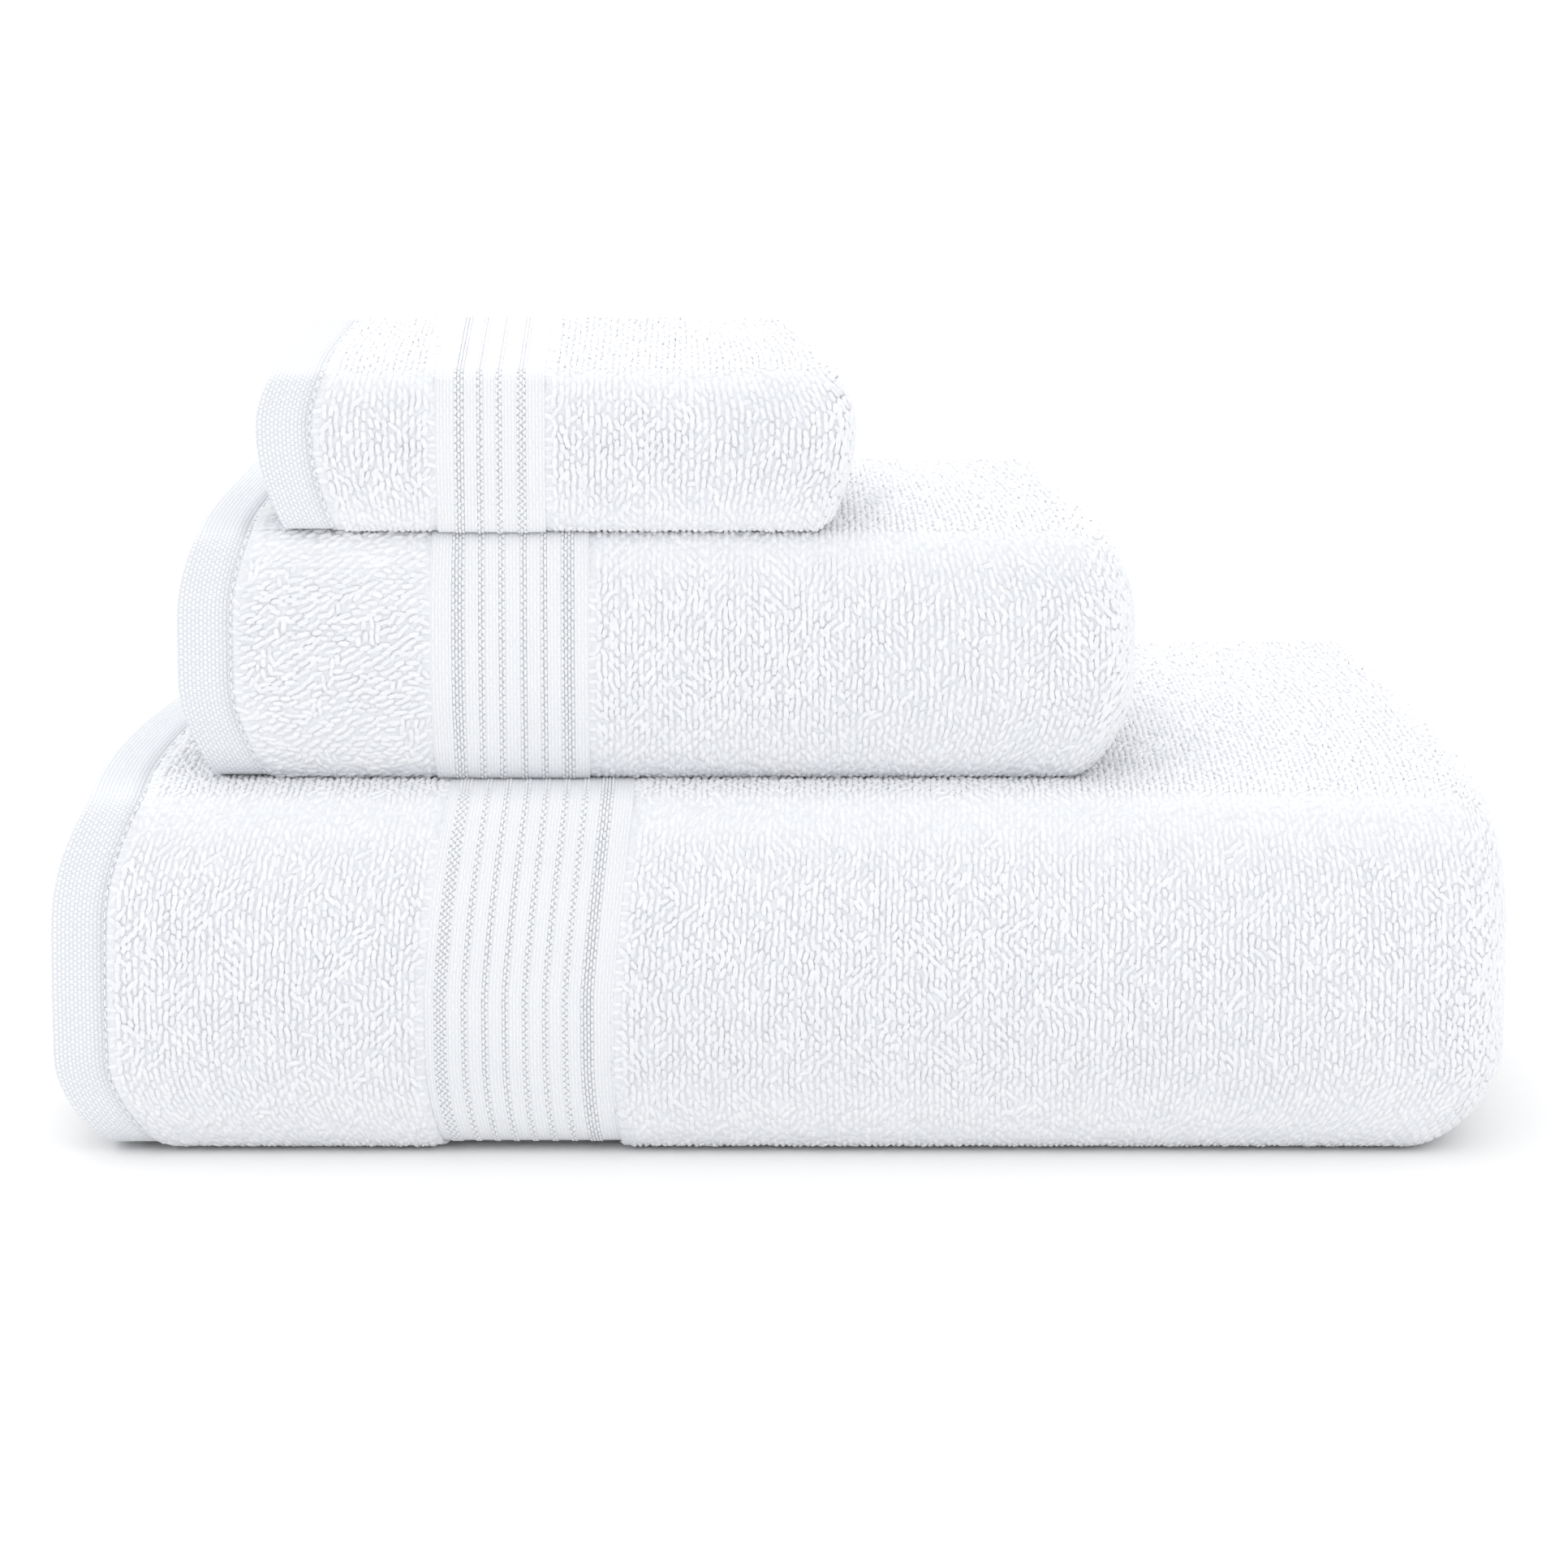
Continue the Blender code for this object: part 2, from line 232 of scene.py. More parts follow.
def fold_lines(towel):
    """Where the outer front fold ends, the inner one starts and the back crease starts, in depth."""
    pack = pack_depth(towel)
    wrap_depth, wrap_length = front_wrap(towel)[2:]
    outer = pack / 2 + wrap_depth
    inner = 2 * pack + NEST_GAP
    runs = towel.width - wrap_length - math.pi * pack
    return outer, inner, (runs + 2 * outer + 2 * inner - 2 * pack + FREE_EDGE_TUCK + INNER_EDGE_TUCK) / 4


def width_track(towel):
    """The width fold, in the plane of depth and height, from the outer side edge to the inner one."""
    pack = pack_depth(towel)
    corner, front = front_wrap(towel)[:2]
    outer, inner, crease = fold_lines(towel)
    start = crease + pack - FREE_EDGE_TUCK
    track = Track(start, (pack - PLY_GAP) / 2, 180).run(start - outer)
    track.turn(corner, -CORNER_ANGLE).turn(front, 2 * CORNER_ANGLE - 180).turn(corner, -CORNER_ANGLE)
    track.run(crease - outer).turn(pack / 2, -180)
    return track.run(crease - inner).turn(pack / 2, 180).run(crease + pack - INNER_EDGE_TUCK - inner)


def folded_length(towel):
    return max(row[1] for row in length_track(towel).rows) + terry_thickness(towel) / 2


def folded_depth(towel):
    return fold_lines(towel)[2] + pack_depth(towel)


# %% [markdown]
# The soft ends of a folded towel aren't square. They draw in towards the floor, at the back and a
# little at the top, and the border leans where the towel above weighs on it. One smooth shift along the
# towel's length does all of this, so it never tears a ply from the next one. A second smooth shift
# squares the front: weight presses its foot and its brow forwards, and a towel that lies on another
# one sinks a little way into its pile.

# %% Fold any point of the flat cloth
def smooth(share):
    share = np.clip(share, 0.0, 1.0)
    return share * share * (3 - 2 * share)


def towel_origin(towel, floor):
    border = BATH.hem_to_border - folded_length(BATH) / 2 + towel.border_shift
    x = border - towel.hem_to_border + folded_length(towel) / 2
    return np.array([x, towel.setback - (folded_depth(BATH) - folded_depth(towel)) / 2, floor])


class Fold:
    """Puts points of a flat cloth, as rows of (along, across, height above it), where folding lays them."""

    def __init__(self, towel, floor):
        self.towel = towel
        self.along, self.across = length_track(towel), width_track(towel)
        self.size = (folded_length(towel), folded_depth(towel), towel_height(towel))
        self.origin = towel_origin(towel, floor)
        self.on_towel = floor > 0

    def drawn_in(self, x, y, z):
        towel, (length, depth, height) = self.towel, self.size
        low = np.maximum(0.0, 1 - z / BOTTOM_REACH) ** 2
        high = np.maximum(0.0, (z / height - TOP_START) / (1 - TOP_START)) ** 2
        back = np.clip((y / depth + 0.5 - BACK_START) / (1 - BACK_START), 0.0, 1.0)
        back = np.sin(math.pi / 2 * back) ** BACK_POWER
        hem_end = towel.hem_end_bottom * low + towel.hem_end_top * high + towel.hem_end_back * back
        fold_end = towel.fold_end_bottom * low + towel.fold_end_top * high + towel.fold_end_back * back
        at_end = 1 - smooth(((length / 2 - np.abs(x)) / length - END_FLAT) / END_REACH)
        drawn = at_end * np.where(x > 0, fold_end, hem_end)
        sway = np.maximum(0.0, (z / height - LEAN_START) / (1 - LEAN_START)) ** LEAN_POWER
        border = towel.hem_to_border + towel.border_width / 2 - length / 2
        near_border = np.exp(-((x - border) / LEAN_REACH) ** 2)
        return near_border * (towel.lean_top * sway + towel.lean_bottom * low) - np.sign(x) * drawn

    def pressed(self, y, z):
        """Weight squares the front corners: how far the foot and the brow of the front fold come forwards."""
        pack, (_, depth, height) = pack_depth(self.towel), self.size
        near = np.maximum(0.0, np.minimum(z, height - z))
        behind = (y + depth / 2) / pack - PRESS_START
        return PRESS * pack * np.exp(-near / (PRESS_REACH * pack)) * (1 - smooth(behind / PRESS_FADE))

    def lay(self, flat, standing=None):
        """Yarn that stands on a face, at the height standing, is pressed as that face is."""
        along, across, lift = np.asarray(flat, float).T
        ply_x, ply_y, ply_heading = self.along.read(along)
        spine_y, spine_z, spine_heading = self.across.read(across)

        def at(height):
            out = ply_y + np.cos(ply_heading) * height
            x = ply_x - np.sin(ply_heading) * height - self.size[0] / 2
            y = spine_y - np.sin(spine_heading) * out - self.size[1] / 2
            return x, y, spine_z + np.cos(spine_heading) * out

        x, y, z = at(lift)
        x = x + self.drawn_in(*at(0.0))
        pressed = self.pressed(*at(lift if standing is None else standing)[1:])
        y = y - pressed
        if self.on_towel:
            z = z - SAG * pressed / pack_depth(self.towel) * (z < self.size[2] / 2)
        placed = np.stack([x, y, z], axis=1) + self.origin
        placed[:, 2] = np.maximum(placed[:, 2], 0.0)
        return placed

    def stretch(self, along, across, lift, axis):
        """How much longer a short step is on this face than on the flat cloth."""
        step = np.zeros((len(along), 3))
        step[:, axis] = CLEARANCE
        flat = np.stack([along, across, lift], axis=1)
        return np.linalg.norm(self.lay(flat + step) - self.lay(flat - step), axis=1) / (2 * CLEARANCE)


folds, floor_height = {}, 0.0
for towel in STACK:
    folds[towel.name] = Fold(towel, floor_height)
    floor_height += towel_height(towel) + CLEARANCE
    print(towel.name, "folds to", [round(1000 * side, 1) for side in folds[towel.name].size], "mm")

# %% [markdown]
# ## Yarn and weave as node groups
# Two effects come back in several finishes, so each is a node group with its own inputs.
# *Soft white* is the slow drift of tone that any white cotton has, mixed towards a shade colour by a depth,
# which some finishes fill with painted shade. *Weave* draws threads that pass over and under each other,
# from the cloth's own flat coordinates, so that the pattern follows every fold; its gap is where the
# woven finishes paint their shade.

# %% Node helpers
def socket(group, name, kind, in_out, value=None):
    made = group.interface.new_socket(name=name, in_out=in_out, socket_type=kind)
    if value is not None:
        made.default_value = value


def node(tree, kind, *inputs, **settings):
    """Adds a node, gives it its settings, and links or sets its inputs in order."""
    made = tree.nodes.new(kind)
    for name, value in settings.items():
        setattr(made, name, value)
    for place, value in enumerate(inputs):
        if isinstance(value, bpy.types.NodeSocket):
            tree.links.new(value, made.inputs[place])
        elif value is not None:
            made.inputs[place].default_value = value
    return made


def maths(tree, operation, *inputs):
    return node(tree, "ShaderNodeMath", *inputs, operation=operation).outputs[0]


# %% Group: soft white
def make_soft_white():
    group = bpy.data.node_groups.new("soft white", "ShaderNodeTree")
    socket(group, "Colour", "NodeSocketColor", "INPUT")
    socket(group, "Shade", "NodeSocketColor", "INPUT")
    socket(group, "Depth", "NodeSocketFloat", "INPUT", 0.0)
    socket(group, "Colour", "NodeSocketColor", "OUTPUT")
    given, put = node(group, "NodeGroupInput"), node(group, "NodeGroupOutput")
    place = node(group, "ShaderNodeTexCoord").outputs["Object"]
    broad = node(group, "ShaderNodeTexNoise", place, None, 45.0, 2.0)
    fine = node(group, "ShaderNodeTexNoise", place, None, 420.0, 2.0)
    drift = maths(group, "ADD", maths(group, "MULTIPLY", broad.outputs[0], 0.16),
                  maths(group, "MULTIPLY", fine.outputs[0], 0.14))
    share = maths(group, "ADD", given.outputs["Depth"], drift)
    mixed = node(group, "ShaderNodeMix", data_type="RGBA")
    group.links.new(share, mixed.inputs["Factor"])
    group.links.new(given.outputs["Colour"], mixed.inputs["A"])
    group.links.new(given.outputs["Shade"], mixed.inputs["B"])
    group.links.new(mixed.outputs["Result"], put.inputs["Colour"])
    return group


# %% Group: weave
def make_weave():
    """Threads over and under: each cell shows one thread, as a ridge that dips at its two ends.

    Stagger shifts every second column, and Float 1 lets only the lengthways threads show.
    """
    group = bpy.data.node_groups.new("weave", "ShaderNodeTree")
    socket(group, "Warp spacing", "NodeSocketFloat", "INPUT", 0.0009)
    socket(group, "Weft spacing", "NodeSocketFloat", "INPUT", 0.0009)
    socket(group, "Stagger", "NodeSocketFloat", "INPUT", 0.0)
    socket(group, "Float", "NodeSocketFloat", "INPUT", 0.0)
    socket(group, "Height", "NodeSocketFloat", "OUTPUT")
    socket(group, "Gap", "NodeSocketFloat", "OUTPUT")
    given, put = node(group, "NodeGroupInput"), node(group, "NodeGroupOutput")
    cloth = node(group, "ShaderNodeUVMap", uv_map="cloth").outputs[0]
    wobble = node(group, "ShaderNodeTexNoise", cloth, None, 900.0, 1.0)
    parts = node(group, "ShaderNodeSeparateXYZ", cloth)
    nudge = maths(group, "MULTIPLY", maths(group, "SUBTRACT", wobble.outputs[0], 0.5), 0.5)
    weft = maths(group, "DIVIDE", parts.outputs["Y"], given.outputs["Weft spacing"])
    weft = maths(group, "ADD", weft, nudge)
    warp = maths(group, "DIVIDE", parts.outputs["X"], given.outputs["Warp spacing"])
    warp = maths(group, "ADD", warp, nudge)
    stagger = maths(group, "MULTIPLY", maths(group, "PINGPONG", maths(group, "FLOOR", warp), 1.0),
                    given.outputs["Stagger"])
    weft = maths(group, "ADD", weft, stagger)
    ridge_x = maths(group, "ABSOLUTE", maths(group, "SINE", maths(group, "MULTIPLY", warp, math.pi)))
    ridge_y = maths(group, "ABSOLUTE", maths(group, "SINE", maths(group, "MULTIPLY", weft, math.pi)))
    cell = maths(group, "ADD", maths(group, "FLOOR", warp), maths(group, "FLOOR", weft))
    over = maths(group, "PINGPONG", cell, 1.0)
    over = maths(group, "MULTIPLY", over, maths(group, "SUBTRACT", 1.0, given.outputs["Float"]))
    warp_on_top = maths(group, "MULTIPLY", ridge_x, maths(group, "POWER", ridge_y, 0.4))
    weft_on_top = maths(group, "MULTIPLY", ridge_y, maths(group, "POWER", ridge_x, 0.4))
    height = node(group, "ShaderNodeMix", over, data_type="FLOAT")
    group.links.new(warp_on_top, height.inputs["A"])
    group.links.new(weft_on_top, height.inputs["B"])
    level = height.outputs["Result"]
    # The woven finishes tint by this gap: painted shade where the threads dip under each other.
    gap = maths(group, "POWER", maths(group, "SUBTRACT", 1.0, level), 2.0)
    group.links.new(level, put.inputs["Height"])
    group.links.new(gap, put.inputs["Gap"])
    return group


SOFT_WHITE, WEAVE = make_soft_white(), make_weave()

# %% [markdown]
# ## Seven finishes
# All of them are the same cool white cotton. What differs is how the light is caught, and where shade is
# painted: the loops of the terry are dull and soft, the ground below them is painted darker as painted
# shade, the gaps between woven threads are painted grey as painted shade, the border's smooth yarn has a
# slight sheen, and the chains in its stripes stand on a ground painted grey-blue, as painted shade, that
# makes them show.

# %% Cotton materials
LOOP_WHITE = (0.868, 0.874, 0.895, 1)
# LOOP_SHADE is the dark end of each loop's own random tone, and the painted shade of the terry ground between
# the loops.
LOOP_SHADE = (0.72, 0.75, 0.80, 1)
WHITE = (0.886, 0.893, 0.912, 1)
SHADE = (0.80, 0.83, 0.88, 1)
# GAP_SHADE is painted shade: the grey in the gaps where woven threads dip.
GAP_SHADE = (0.66, 0.69, 0.74, 1)
# STRIPE_SHADE is painted shade: the grey-blue round the raised chain links of the stripes.
STRIPE_SHADE = (0.40, 0.42, 0.46, 1)
WEAVE_RELIEF = 0.00025
HALF_STEP = 0.5  # threads of neighbouring columns are half a step apart


def cotton(name, roughness, sheen):
    """A material with its shader, whose even sheen is set on the shader itself."""
    material = bpy.data.materials.new(name)
    material.use_nodes = True
    shader = material.node_tree.nodes["Principled BSDF"]
    shader.inputs["Roughness"].default_value = roughness
    shader.inputs["Specular IOR Level"].default_value = 0.25
    shader.inputs["Sheen Weight"].default_value = sheen
    shader.inputs["Sheen Roughness"].default_value = 0.6
    return material, material.node_tree, shader


def tint(tree, shader, depth, light=WHITE, dark=SHADE):
    """Colours a cotton between its white and its shade; depth is a number or what a node puts out."""
    white = node(tree, "ShaderNodeGroup", node_tree=SOFT_WHITE)
    white.inputs["Colour"].default_value = light
    white.inputs["Shade"].default_value = dark
    if isinstance(depth, bpy.types.NodeSocket):
        tree.links.new(depth, white.inputs["Depth"])
    else:
        white.inputs["Depth"].default_value = depth
    tree.links.new(white.outputs["Colour"], shader.inputs["Base Color"])


def bump(tree, shader, height, distance, strength=1.0):
    relief = node(tree, "ShaderNodeBump")
    relief.inputs["Distance"].default_value = distance
    relief.inputs["Strength"].default_value = strength
    tree.links.new(height, relief.inputs["Height"])
    tree.links.new(relief.outputs["Normal"], shader.inputs["Normal"])


def make_loop_cotton():
    """Loops: each has its own slight tone, and its yarn is a fine twist."""
    material, tree, shader = cotton("terry_loops", 0.92, 0.25)
    own_tone = node(tree, "ShaderNodeAttribute", attribute_name="tone").outputs["Fac"]
    tint(tree, shader, maths(tree, "MULTIPLY_ADD", own_tone, 0.3, -0.15), LOOP_WHITE, LOOP_SHADE)
    place = node(tree, "ShaderNodeTexCoord").outputs["Object"]
    twist = node(tree, "ShaderNodeTexNoise", place, None, 2600.0, 2.0)
    bump(tree, shader, twist.outputs[0], 0.0001, 0.5)
    return material


def make_ground_cotton():
    material, tree, shader = cotton("terry_ground", 0.95, 0.1)
    place = node(tree, "ShaderNodeTexCoord").outputs["Object"]
    tufts = node(tree, "ShaderNodeTexVoronoi", place, None, 620.0)
    # Painted shade: the ground is tinted towards LOOP_SHADE, most at the edges of its tufts, for the shade
    # under and between the loops.
    depth = maths(tree, "MULTIPLY_ADD", tufts.outputs["Distance"], 0.35, 0.1)
    tint(tree, shader, depth, LOOP_WHITE, LOOP_SHADE)
    bump(tree, shader, maths(tree, "SUBTRACT", 1.0, tufts.outputs["Distance"]), 0.0008, 0.9)
    return material


def make_woven_cotton(name, spacing, depth, roughness, dark, floats=0.0):
    material, tree, shader = cotton(name, roughness, 0.15)
    weave = node(tree, "ShaderNodeGroup", node_tree=WEAVE)
    weave.inputs["Warp spacing"].default_value = spacing[0]
    weave.inputs["Weft spacing"].default_value = spacing[1]
    weave.inputs["Stagger"].default_value = HALF_STEP
    weave.inputs["Float"].default_value = floats
    # The gaps of the weave are tinted towards dark: painted shade between the threads.
    tint(tree, shader, maths(tree, "MULTIPLY", weave.outputs["Gap"], depth), dark=dark)
    bump(tree, shader, weave.outputs["Height"], WEAVE_RELIEF, 0.7)
    return material


def make_yarn_cotton(name, roughness, sheen, depth):
    """Smooth yarn, as in the chains of the border and in the sewing thread."""
    material, tree, shader = cotton(name, roughness, sheen)
    own_tone = node(tree, "ShaderNodeAttribute", attribute_name="tone").outputs["Fac"]
    tint(tree, shader, maths(tree, "MULTIPLY", own_tone, depth))
    place = node(tree, "ShaderNodeTexCoord").outputs["Object"]
    plied = node(tree, "ShaderNodeTexNoise", place, None, 3800.0, 1.0)
    bump(tree, shader, plied.outputs[0], 0.0001, 0.5)
    return material


LOOPS = make_loop_cotton()
GROUND = make_ground_cotton()
HEM_WEAVE = make_woven_cotton("hem_plain_weave", (0.00105, 0.0012), 1.0, 0.85, GAP_SHADE)
BORDER_WEAVE = make_woven_cotton("border_twill", (0.0009, 0.0024), 0.35, 0.72, GAP_SHADE, floats=1.0)
# The stripe ground is tinted towards STRIPE_SHADE by its weave's gaps: painted shade round the chain links.
STRIPE_GROUND = make_woven_cotton("border_stripe_ground", (0.0009, 0.0009), 1.0, 0.8, STRIPE_SHADE)
CHAIN_YARN = make_yarn_cotton("border_chain_yarn", 0.6, 0.1, 0.15)
THREAD = make_yarn_cotton("sewing_thread", 0.55, 0.05, 0.3)
FINISHES = (LOOPS, GROUND, HEM_WEAVE, BORDER_WEAVE, STRIPE_GROUND, CHAIN_YARN, THREAD)
print(len(FINISHES), "finishes")

# %% [markdown]
# ## Flat strips
# Where the weave changes, a towel changes its thickness and look, so each zone is a strip of its own.
# A strip starts as a grid with its rows close together only where the cloth will bend. It is given its
# thickness and soft rims while it is flat, where both are easy, and its flat coordinates are kept as a
# UV map before it is folded.

# %% Stations along a path, closer in the bends
def stations(track, start, end, flat_step, bend_step, extra=()):
    table = np.linspace(start, end, 4000)
    bent = np.zeros(len(table), bool)
    for begin, finish in track.turns:
        bent |= (table > begin - bend_step) & (table < finish + bend_step)
    cost = np.cumsum(np.where(bent, 1 / bend_step, 1 / flat_step)) * (table[1] - table[0])
    cost -= cost[0]
    count = max(1, math.ceil(cost[-1]))
    found = np.interp(np.linspace(0, cost[-1], count + 1), cost, table)
    found = [place for place in found if all(abs(place - mark) > flat_step / 8 for mark in extra)]
    return np.array(sorted({start, end, *found, *extra}))


def apply_modifiers(piece):
    bpy.context.view_layer.objects.active = piece
    for modifier in list(piece.modifiers):
        bpy.ops.object.modifier_apply(modifier=modifier.name)


def read_points(piece):
    points = np.empty(len(piece.data.vertices) * 3, np.float32)
    piece.data.vertices.foreach_get("co", points)
    return points.reshape(-1, 3).astype(float)


def write_points(piece, points):
    piece.data.vertices.foreach_set("co", points.astype(np.float32).ravel())
    piece.data.update()


TILE_MARGIN = 0.01


def keep_flat_map(piece, flat, low, high):
    """Two maps: the cloth in metres, for its weave, and the same fitted to one tile, for baking."""
    corners = np.empty(len(piece.data.loops), np.int32)
    piece.data.loops.foreach_get("vertex_index", corners)
    share = (flat[:, :2] - low) / (np.array(high) - low) * (1 - 2 * TILE_MARGIN) + TILE_MARGIN
    for name, points in (("cloth", flat[:, :2]), ("OFBake", share)):
        layer = piece.data.uv_layers.get(name) or piece.data.uv_layers.new(name=name)
        layer.uv.foreach_set("vector", points[corners].astype(np.float32).ravel())


def flat_grid(name, rows, columns):
    """A grid whose rows and columns stand at these distances."""
    bpy.ops.mesh.primitive_grid_add(x_subdivisions=len(rows) - 1, y_subdivisions=len(columns) - 1, size=1.0)
    piece = bpy.context.active_object
    piece.name = piece.data.name = name
    points = read_points(piece)
    row = np.rint((points[:, 0] + 0.5) * (len(rows) - 1)).astype(int)
    column = np.rint((points[:, 1] + 0.5) * (len(columns) - 1)).astype(int)
    flat = (np.array(rows)[row], np.array(columns)[column], np.zeros(len(row)))
    write_points(piece, np.stack(flat, axis=1))
    while piece.data.uv_layers:
        piece.data.uv_layers.remove(piece.data.uv_layers[0])
    return piece


def thicken(piece, low, high, rim):
    """Gives a flat sheet a body between two heights, with round rims."""
    points = read_points(piece)
    points[:, 2] = (low + high) / 2
    write_points(piece, points)
    body = piece.modifiers.new("cloth thickness", "SOLIDIFY")
    body.thickness = high - low
    body.offset = 0.0
    soft = piece.modifiers.new("soft rims", "BEVEL")
    soft.width = rim
    soft.segments = 3
    soft.limit_method = "ANGLE"
    soft.angle_limit = math.radians(50)
    apply_modifiers(piece)


def fold_up(piece, fold, low, high):
    """Keeps the flat coordinates as maps, and lays the cloth along the folds."""
    flat = read_points(piece)
    keep_flat_map(piece, flat, np.array(low), np.array(high))
    write_points(piece, fold.lay(flat))
    piece.data.shade_smooth()


# %% [markdown]
# ## Pieces join the stack
# A finished piece is told which solid it stands for, which towel carries it and how large its cloth was
# when it lay flat.

# %% Hand a finished piece to its towel
def settle(piece, towel, material, nodes=()):
    if material is not None:
        piece.data.materials.clear()
        piece.data.materials.append(material)
    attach(piece, towel.body)
    if nodes:
        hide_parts(*nodes)
    return piece


# %% [markdown]
# ## One arch of yarn
# Terry is thousands of loops. One is modelled on its own: a six-sided prism whose end points are pulled
# out and down, so that it arches like a loop that lies over. Twenty-four triangles are enough, because
# smooth shading rounds it and its foot is sunk in the cloth. A chain link of the border and a stitch
# are the same shape in other sizes.

# %% Model the arch
ARCH_SIDES, ARCH_BODY, TIP_REACH, TIP_HEIGHT = 6, 0.46, 0.5, 0.3

def model_arch():
    """(points, faces) of an arch one unit long along Y and one wide, with its foot at height 0."""
    bpy.ops.mesh.primitive_cylinder_add(vertices=ARCH_SIDES, radius=0.5, depth=ARCH_BODY,
                                        end_fill_type="TRIFAN", rotation=(math.pi / 2, 0, 0))
    arch = bpy.context.active_object
    bpy.ops.object.transform_apply(location=True, rotation=True, scale=True)
    points = read_points(arch)
    caps = np.hypot(points[:, 0], points[:, 2]) < 0.01
    points[:, 2] -= points[:, 2].min()
    points[:, 2] /= points[:, 2].max()
    points[:, 0] /= np.ptp(points[:, 0])
    points[caps, 1] = np.sign(points[caps, 1]) * TIP_REACH
    points[caps, 2] = TIP_HEIGHT
    faces = [tuple(face.vertices) for face in arch.data.polygons]
    bpy.data.objects.remove(arch, do_unlink=True)
    print("an arch has", sum(len(face) - 2 for face in faces), "triangles")
    return points, faces


ARCH = model_arch()

# %% [markdown]
# Each copy of an arch is placed on the flat cloth by its middle, its direction and its size, then folded
# with the cloth. In a tight bend the outer face is longer than the flat cloth, so every arch is
# first shortened by that stretch and comes out of the fold at its true size.

# %% Lay many arches on a cloth
rng = np.random.default_rng(19)


def lay_arches(name, fold, along, across, lift, turn, length, width, height, low, high):
    shape, faces = ARCH
    count, corners = len(along), len(shape)
    out = shape[:, 1] * length[:, None]
    side = shape[:, 0] * width[:, None]
    step_along = side * np.cos(turn)[:, None] + out * np.sin(turn)[:, None]
    step_across = out * np.cos(turn)[:, None] - side * np.sin(turn)[:, None]
    top = lift + height / 2
    flat = np.empty((count, corners, 3))
    flat[:, :, 0] = along[:, None] + step_along / fold.stretch(along, across, top, 0)[:, None]
    flat[:, :, 1] = across[:, None] + step_across / fold.stretch(along, across, top, 1)[:, None]
    flat[:, :, 2] = lift[:, None] + shape[:, 2] * height[:, None]
    flat = flat.reshape(-1, 3)
    sizes = np.array([len(face) for face in faces])
    pattern = np.concatenate([np.array(face) for face in faces])
    corner_vertices = (pattern[None, :] + corners * np.arange(count)[:, None]).ravel()
    mesh = bpy.data.meshes.new(name)
    mesh.vertices.add(len(flat))
    mesh.loops.add(len(corner_vertices))
    mesh.polygons.add(count * len(faces))
    starts = np.concatenate([[0], np.cumsum(np.tile(sizes, count))[:-1]])
    mesh.polygons.foreach_set("loop_start", starts.astype(np.int32))
    mesh.loops.foreach_set("vertex_index", corner_vertices.astype(np.int32))
    piece = bpy.data.objects.new(name, mesh)
    bpy.context.scene.collection.objects.link(piece)
    write_points(piece, fold.lay(flat, np.repeat(lift, corners)))
    mesh.update(calc_edges=True)
    keep_flat_map(piece, flat, np.array(low), np.array(high))
    tone = mesh.attributes.new("tone", "FLOAT", "POINT")
    tone.data.foreach_set("value", np.repeat(rng.random(count), corners).astype(np.float32))
    mesh.shade_smooth()
    return piece


# %% [markdown]
# ## Terry
# The loops stand in rows that follow the weave, but washing tangles them into clumps that lean together.
# A slowly changing field turns and lifts neighbours alike, and a small random part keeps any two from
# matching. Only the faces that can be seen get loops: the outside of the fold and the round ends.

# %% Where a towel's cloth can be seen
COLUMN_STEP, ROW_STEP = 0.0016, 0.00275
PILE_HEIGHT = 0.00075
SUNK = 0.0006  # how deep the foot of a loop lies in the cloth
SEEN_BELOW = 0.020  # how far under the fold the loops go on
LOOP_LENGTH, LOOP_WIDTH = 0.0043, 0.00130
EDGE_ROUND = 0.0028
MOST_LOOPS = 8000  # in one piece


def even_steps(fold, axis, start, end, other, lift, step):
    """Distances on the flat cloth whose places on the folded face are evenly spaced."""
    fine = np.linspace(start, end, 3000)
    flat = np.zeros((len(fine), 3))
    flat[:, axis], flat[:, 1 - axis], flat[:, 2] = fine, other, lift
    gone = np.concatenate([[0], np.cumsum(np.linalg.norm(np.diff(fold.lay(flat), axis=0), axis=1))])
    count = max(1, round(gone[-1] / step))
    return np.interp((np.arange(count) + 0.5) / count * gone[-1], gone, fine)


def seen_patches(fold, start, end):
    """(along from, along to, across from, across to) of the parts of a zone that face outwards."""
    towel, turns = fold.towel, fold.along.turns
    wrap_start, crease_end = fold.across.turns[0][0], fold.across.turns[3][1]
    seen = (wrap_start - SEEN_BELOW, crease_end)
    edges = (SIDE_HEM_WIDTH, towel.width - SIDE_HEM_WIDTH)
    outer_end = turns[0][1]
    patches = [(start, min(end, outer_end), *seen)]
    for number, (begin, finish) in enumerate(turns[:2]):
        begin, finish = max(start, begin), min(end, finish)
        if begin < finish and number == 0:
            patches += [(begin, finish, edges[0], seen[0]), (begin, finish, seen[1], edges[1])]
        elif begin < finish:
            patches.append((begin, finish, *edges))
    return [patch for patch in patches if patch[0] < patch[1] and patch[2] < patch[3]]


# %% Lay the loops of a zone
SCATTER_ALONG, SCATTER_ACROSS = 0.00018, 0.0004
LEAN_CLUMP, SWELL_CLUMP, RUFFLE_CLUMP = 0.012, 0.006, 0.010
LEAN, RUFFLE, SIDEWAYS_TURN, RIM_SCATTER = (math.radians(angle) for angle in (13, 52, 26, 24))
RUFFLED_FROM, SIDEWAYS_WEIGHT = 1.7, 3.4
RIM_FROM, RIM_DROP = 0.45, 0.0011
BATCH = 0.01  # a piece takes its loops in bands of this width


